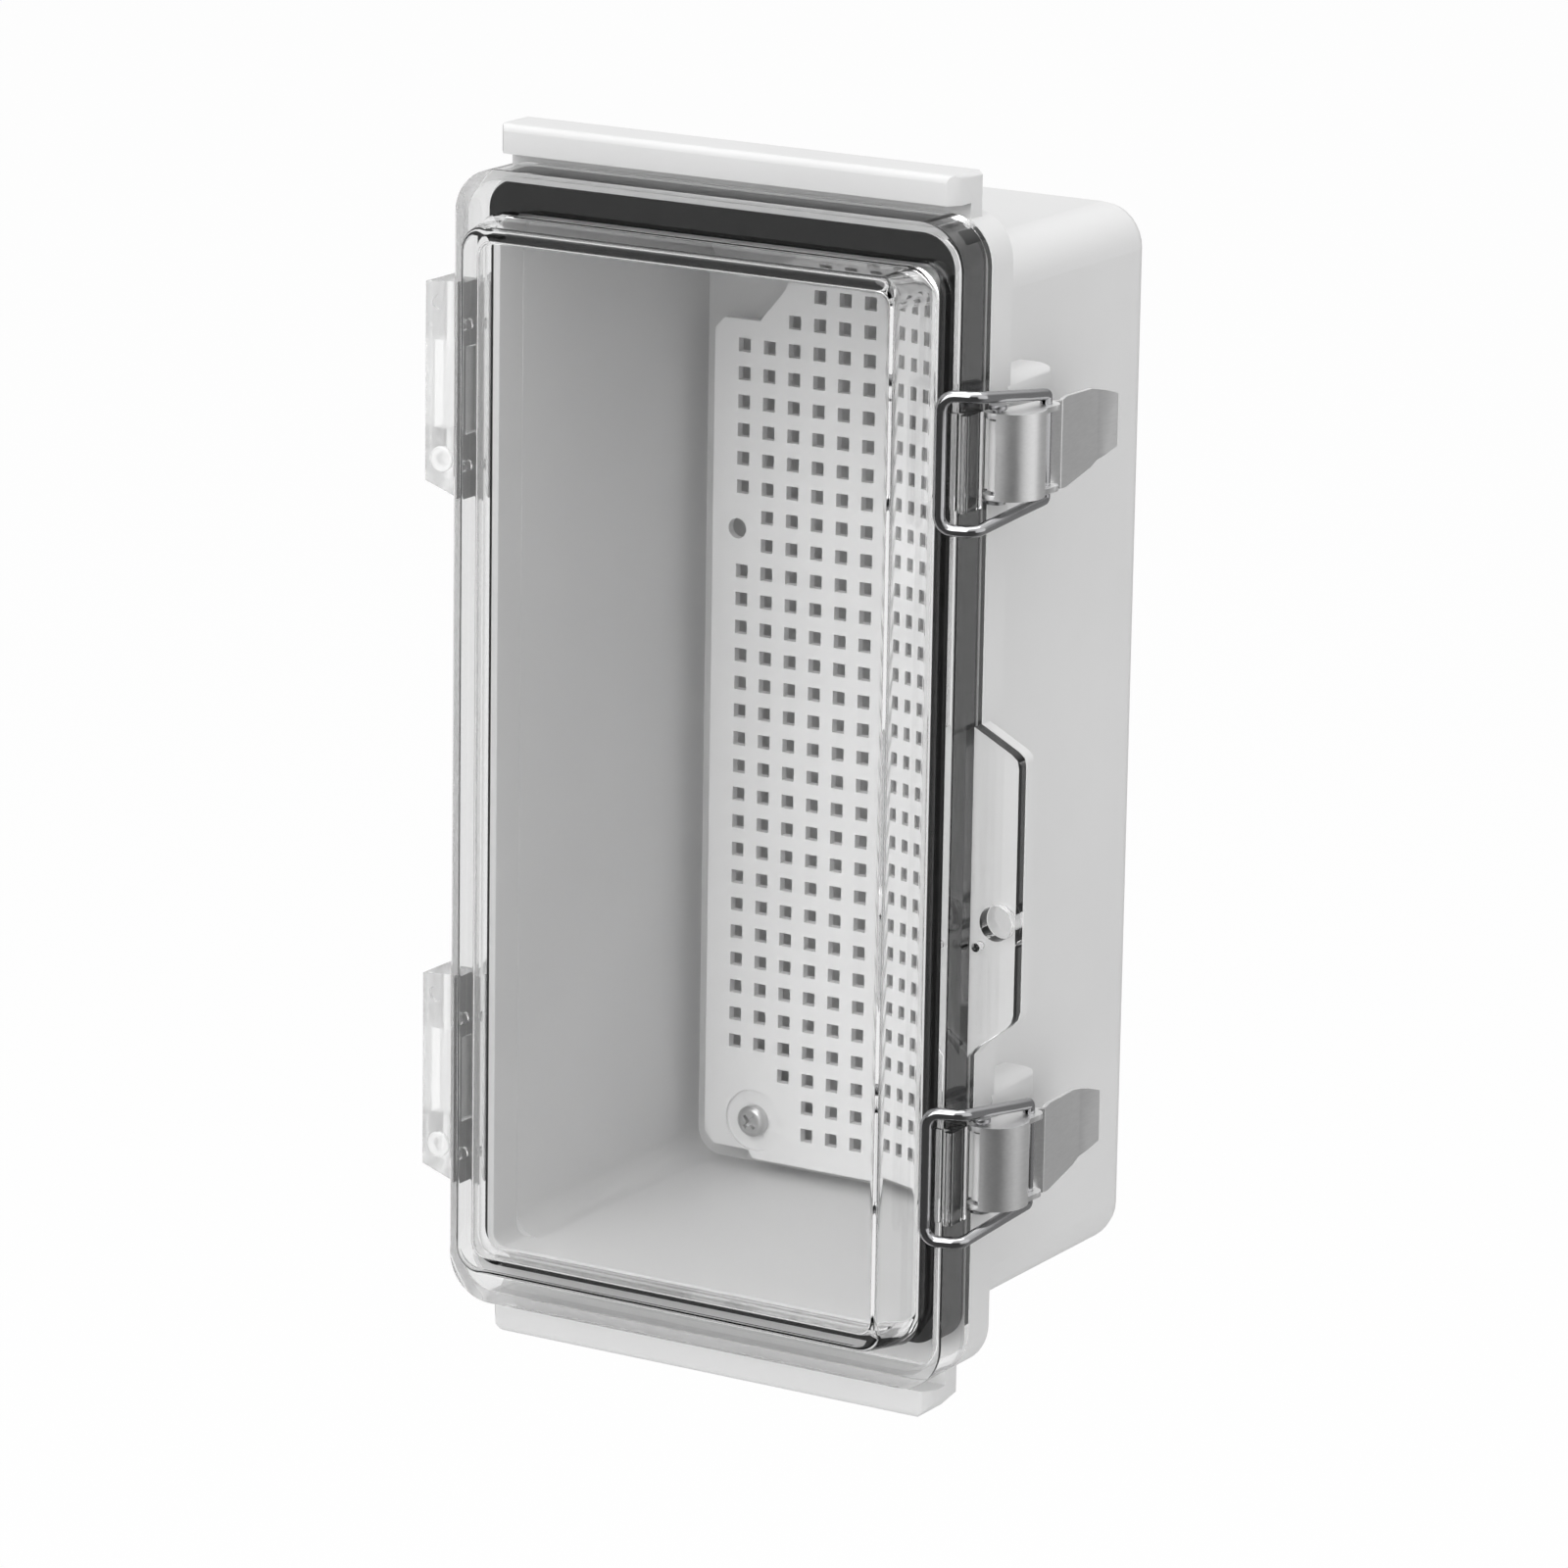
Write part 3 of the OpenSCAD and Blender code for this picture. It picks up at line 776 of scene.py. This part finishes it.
@dataclass
class CaseBody(SubAssembly):
    """The grey tub with its gasket, panel and fasteners.

    The lip sizes belong to the two drip lips, the seal sizes to the gasket, and
    the wall sizes to the raised wall inside it.
    """

    tub_edge: float = 0.45 * MM
    plain_area: float = 100.0 * MM * MM
    lip_height: float = 4.9 * MM
    lip_ease: float = 1.5 * MM
    lip_least: float = 20.0 * MM
    front_slack: float = 0.2 * MM
    top_slack: float = 0.3 * MM
    seal_width: float = 4.1 * MM
    seal_rise: float = 2.75 * MM
    seal_lift: float = 1.4 * MM
    seal_trim: float = 2.0 * MM
    seal_corners: Tuple[float, float] = (5.0 * MM, 3.0 * MM)
    seal_edge: float = 0.6 * MM
    wall_gap: float = 0.08 * MM
    wall_side: float = 1.35 * MM
    wall_end: float = 0.8 * MM
    wall_rise: float = 1.5 * MM
    wall_foot: float = 0.2 * MM
    wall_corners: Tuple[float, float] = (2.9 * MM, 2.2 * MM)
    wall_edge: float = 0.2 * MM

    def shell(self) -> None:
        """Round the tub and ease the front edges of its two drip lips."""
        tub = copy_solid("tub", "tub_skin")
        high = solid_box("tub")[1]
        reach = high[2] - self.lip_height
        front = min(v.co.y for v in tub.data.vertices if abs(v.co.z) > reach)
        ease = bmesh.new()
        ease.from_mesh(tub.data)
        edges = []
        for edge in ease.edges:
            ends = [corner.co for corner in edge.verts]
            across = abs(ends[0].x - ends[1].x) > self.lip_least
            if across and all(abs(p.z) > reach and p.y < front + self.front_slack
                              for p in ends):
                if all(abs(abs(p.z) - high[2]) < self.top_slack for p in ends):
                    edges.append(edge)
        bmesh.ops.bevel(ease, geom=edges, offset=self.lip_ease, segments=5, profile=0.5,
                        affect="EDGES", clamp_overlap=True)
        ease.to_mesh(tub.data)
        ease.free()
        round_edges(tub, self.tub_edge, 2, 50.0, plain=self.plain_area)
        dress(tub, self.finishes["grey_plastic"])
        settle(tub, "case", "grey_plastic", "tub")

    def seal(self) -> None:
        """Lay the gasket, and the tub's raised wall that stands inside it."""
        low, high = solid_box("gasket")
        outer = Outline(low[0] + self.seal_trim, high[0], low[2] + self.seal_trim,
                        high[2] + self.seal_rise, self.seal_corners[0])
        inner = Outline(low[0] + self.seal_width, high[0] - self.seal_width,
                        low[2] + self.seal_width,
                        high[2] - self.seal_width + self.seal_lift, self.seal_corners[1])
        gasket = ring("gasket_foam", outer, inner, low[1], high[1], self.seal_edge)
        dress(gasket, self.finishes["black_rubber"])
        settle(gasket, "case", "black_rubber", "gasket")
        gap = self.wall_gap
        wall = Outline(inner.left + gap, inner.right - gap, inner.bottom + gap,
                       high[2] - self.seal_width - gap, self.wall_corners[0])
        hole = Outline(wall.left + self.wall_side, wall.right - self.wall_side,
                       wall.bottom + self.wall_end, wall.top - self.wall_end,
                       self.wall_corners[1])
        lip = ring("tub_inner_lip", wall, hole, low[1] - self.wall_rise,
                   high[1] + self.wall_foot, self.wall_edge)
        dress(lip, self.finishes["grey_plastic"])
        settle(lip, "case", "grey_plastic")

    def build(self) -> None:
        """Dress the tub and all that is fixed in it."""
        self.shell()
        self.seal()
        self.carry("mounting_plate", "panel_metal")
        self.carry("plate_inserts", "brass")
        self.soften("plate_screws", "case", "screw_steel", 0.18 * MM, 2, 50.0)


@dataclass
class Door(SubAssembly):
    """The clear lid with its hinge leaves, pins and caps."""

    lid_edge: float = 0.5 * MM
    leaf_edge: float = 0.4 * MM
    boss_radius: float = 1.0 * MM
    boss_depth: float = 2.6 * MM
    boss_inset: float = 3.2 * MM
    boss_front: float = 1.4 * MM
    boss_step: float = 12.0 * MM
    boss_edge: float = 0.4 * MM
    cap_edge: float = 0.25 * MM

    def bosses(self, side: Side) -> None:
        """Add the small moulded bosses behind the lid's rim at a hinge's two ends.

        Args:
            side: Which hinge.
        """
        low, high = solid_box(f"hinge_leaf_{side.value}")
        seal_front = solid_box("gasket")[0].y
        middle = (low[2] + high[2]) / 2.0
        for end, step in (("top", self.boss_step), ("foot", -self.boss_step)):
            clear_choice()
            bpy.ops.mesh.primitive_cylinder_add(
                vertices=32, radius=self.boss_radius, depth=self.boss_depth,
                location=(high[0] + self.boss_inset, seal_front - self.boss_front,
                          middle + step),
                rotation=(math.pi / 2.0, 0.0, 0.0), calc_uvs=False)
            boss = bpy.context.active_object
            boss.name = f"hinge_boss_{side.value}_{end}"
            bpy.ops.object.transform_apply(location=True, rotation=True, scale=True)
            round_edges(boss, self.boss_edge, 3, 50.0)
            dress(boss, self.finishes["clear_plastic"])
            settle(boss, "door", "clear_plastic")

    def build(self) -> None:
        """Dress the lid and the parts that swing with it."""
        self.soften("lid", "door", "clear_plastic", self.lid_edge, 3, 50.0)
        for side in Side:
            leaf = self.soften(f"hinge_leaf_{side.value}", "door", "clear_plastic",
                               self.leaf_edge, 3, 50.0)
            cap = self.soften(f"hinge_cap_{side.value}", "door", "clear_plastic",
                              self.cap_edge, 2, 50.0)
            # the same plastic as the lid, with a milkier look
            for piece in (leaf, cap):
                dress(piece, self.finishes["milky_plastic"])
            self.carry(f"hinge_pin_{side.value}", "pin_steel")
            self.bosses(side)


@dataclass
class Latch(SubAssembly):
    """One draw latch: lever, wire bail, pin and clip."""

    side: Side = Side.UPPER
    sheet_edge: float = 0.16 * MM
    pin_edge: float = 0.15 * MM
    wire_radius: float = 1.0 * MM
    front_bend: float = 2.4 * MM
    shoulder_in: float = 1.9 * MM
    shoulder_back: float = 1.7 * MM
    shoulder_bend: float = 2.2 * MM
    arm_in: float = 0.6 * MM
    arm_ahead: float = 6.0 * MM
    arm_narrow: float = 1.6 * MM
    arm_bend: float = 4.0 * MM
    foot_narrow: float = 2.3 * MM
    foot_bend: float = 0.5 * MM

    def bail(self, name: str) -> None:
        """Draw the bail as one smooth bent wire in place of its solid.

        Args:
            name: Which latch, upper or lower.
        """
        low, high = solid_box(f"latch_bail_{name}")
        grow = self.wire_radius
        x0, y0 = low[0] + grow, low[1] + grow
        x1, y1 = high[0] - grow, high[1] - grow
        middle, reach = (low[2] + high[2]) / 2.0, (high[2] - low[2]) / 2.0 - grow
        half = (
            (x0, y0, reach, self.front_bend),
            (x1 - self.shoulder_in, y0 + self.shoulder_back, reach, self.shoulder_bend),
            (x1 - self.arm_in, y1 - self.arm_ahead, reach - self.arm_narrow, self.arm_bend),
            (x1, y1, reach - self.foot_narrow, self.foot_bend),
        )
        corners = [(Vector((x, y, middle + z)), r) for x, y, z, r in half]
        corners += [(Vector((x, y, middle - z)), r) for x, y, z, r in reversed(half)]
        piece = wire(f"bail_wire_{name}", rounded_loop(corners), grow)
        dress(piece, self.finishes["wire_steel"])
        settle(piece, f"bail_{name}", "stainless", f"latch_bail_{name}")

    def build(self) -> None:
        """Dress one latch."""
        name = self.side.value
        self.soften(f"latch_lever_{name}", f"lever_{name}", "stainless",
                    self.sheet_edge, 2, 40.0)
        self.bail(name)
        self.soften(f"latch_pin_{name}", "case", "pin_steel", self.pin_edge, 2,
                    50.0)
        self.carry(f"latch_clip_{name}", "pin_steel")


# ------------------------------------------------------------------- studio


@dataclass
class Lamp:
    """A soft rectangular lamp aimed at the enclosure."""

    name: str
    place: Point
    size: Tuple[float, float]
    power: float
    aim: Point = (0.0, -0.04, 0.0)

    def build(self) -> None:
        """Add the lamp."""
        data = bpy.data.lights.new(self.name, "AREA")
        data.shape = "RECTANGLE"
        data.size, data.size_y = self.size
        data.energy = self.power
        lamp = add_object(self.name, data)
        lamp.location = self.place
        way = Vector(self.aim) - Vector(self.place)
        lamp.rotation_euler = way.to_track_quat("-Z", "Y").to_euler()


@dataclass
class Studio:
    """The camera, lamps, floor and white surroundings."""

    eye: Point = (0.6524, -1.1346, 0.3194)
    yaw: float = 0.539
    pitch: float = 0.251
    roll: float = 0.016
    lens: float = 178.22
    sensor: float = 36.0
    floor_z: float = -0.30
    floor_size: float = 6.0
    floor_grey: float = 0.9
    floor_glow: float = 0.97
    reach: float = 0.4
    sky: float = 0.45

    def camera(self) -> None:
        """Place the camera."""
        cy, sy = math.cos(self.yaw), math.sin(self.yaw)
        cp, sp = math.cos(self.pitch), math.sin(self.pitch)
        ahead = Vector((-sy * cp, cy * cp, -sp))
        right = Vector((cy, sy, 0.0))
        up = right.cross(ahead)
        cr, sr = math.cos(self.roll), math.sin(self.roll)
        across = right * cr + up * sr
        above = up * cr - right * sr
        data = bpy.data.cameras.new("camera")
        data.lens = self.lens
        data.sensor_width = self.sensor
        data.clip_start = 0.05
        data.clip_end = 50.0
        thing = add_object("camera", data)
        pose = Matrix((across, above, -ahead)).transposed().to_4x4()
        pose.translation = Vector(self.eye)
        thing.matrix_world = pose
        bpy.context.scene.camera = thing

    def seen(
        self, sheet: Sheet, way: bpy.types.NodeSocket,
    ) -> Tuple[bpy.types.NodeSocket, bpy.types.NodeSocket]:
        """Tell which rays see the backdrop and how white it looks to them.

        Args:
            sheet: The sheet of the world or the floor.
            way: The direction in which a ray leaves the enclosure.

        Returns:
            A mask of the rays that see the backdrop, and its level for them.
        """
        path = sheet.add("ShaderNodeLightPath")
        eye = path.outputs["Is Camera Ray"]
        through = path.outputs["Is Transmission Ray"]
        graded = sheet.add("ShaderNodeGroup")
        graded.node_tree = Groups.backdrop
        graded.inputs["Reach"].default_value = self.reach
        sheet.join(way, graded.inputs["Way"])
        bent = sheet.mix("FLOAT", through, graded.outputs["Mirrored"],
                         graded.outputs["Passing"])
        mask = sheet.sum("MAXIMUM", eye, sheet.sum("MAXIMUM", through,
                                                   path.outputs["Is Glossy Ray"]))
        return mask, sheet.sum("MAXIMUM", eye, bent)

    def surroundings(self) -> None:
        """Make the world white to the eye and soft as a light."""
        world = bpy.data.worlds.new("surroundings")
        bpy.context.scene.world = world
        world.use_nodes = True
        sheet = Sheet(world.node_tree)
        back = world.node_tree.nodes["Background"]
        back.inputs["Color"].default_value = (1.0, 1.0, 1.0, 1.0)
        way = sheet.add("ShaderNodeTexCoord").outputs["Generated"]
        mask, level = self.seen(sheet, way)
        sheet.join(sheet.mix("FLOAT", mask, self.sky, level), back.inputs["Strength"])

    def floor(self) -> None:
        """Add the pale floor, white to the eye."""
        clear_choice()
        bpy.ops.mesh.primitive_grid_add(x_subdivisions=12, y_subdivisions=12,
                                        size=self.floor_size,
                                        location=(0.0, 0.0, self.floor_z))
        floor = bpy.context.active_object
        floor.name = "studio_floor"
        material = bpy.data.materials.new("studio_floor")
        material.use_nodes = True
        sheet = Sheet(material.node_tree)
        shader = material.node_tree.nodes["Principled BSDF"]
        shader.inputs["Base Color"].default_value = (*[self.floor_grey] * 3, 1.0)
        shader.inputs["Roughness"].default_value = 0.9
        place = sheet.add("ShaderNodeTexCoord").outputs["Object"]
        below = sheet.add("ShaderNodeVectorMath", operation="ADD")
        below.inputs[1].default_value = (0.0, 0.0, self.floor_z)
        sheet.join(place, below.inputs[0])
        way = sheet.add("ShaderNodeVectorMath", operation="NORMALIZE")
        sheet.join(below.outputs["Vector"], way.inputs[0])
        mask, level = self.seen(sheet, way.outputs["Vector"])
        glow = sheet.add("ShaderNodeEmission")
        sheet.join(level, glow.inputs["Strength"])
        sheet.surface(sheet.sum("MULTIPLY", mask, self.floor_glow), shader, glow)
        dress(floor, material)

    def lamps(self) -> None:
        """Add the soft lamps."""
        for lamp in (
            Lamp("top_light", (0.1, -0.1, 1.1), (1.2, 1.0), 8.5),
            Lamp("front_light", (-0.15, -1.45, 0.7), (1.1, 1.1), 11.0),
            Lamp("side_light", (1.35, 0.05, 0.2), (1.7, 1.0), 4.5),
        ):
            lamp.build()

    def build(self) -> None:
        """Set up the whole studio."""
        bpy.context.scene.view_settings.view_transform = "Standard"
        self.camera()
        self.surroundings()
        self.floor()
        self.lamps()


def main() -> None:
    """Build the studio, then dress each sub-assembly in order."""
    logging.basicConfig(level=logging.INFO, format="%(name)s: %(message)s")
    Studio().build()
    finishes = Finishes()
    finishes.build()
    CaseBody(finishes).build()
    Door(finishes).build()
    for side in Side:
        Latch(finishes, side=side).build()


if __name__ == "__main__":
    main()
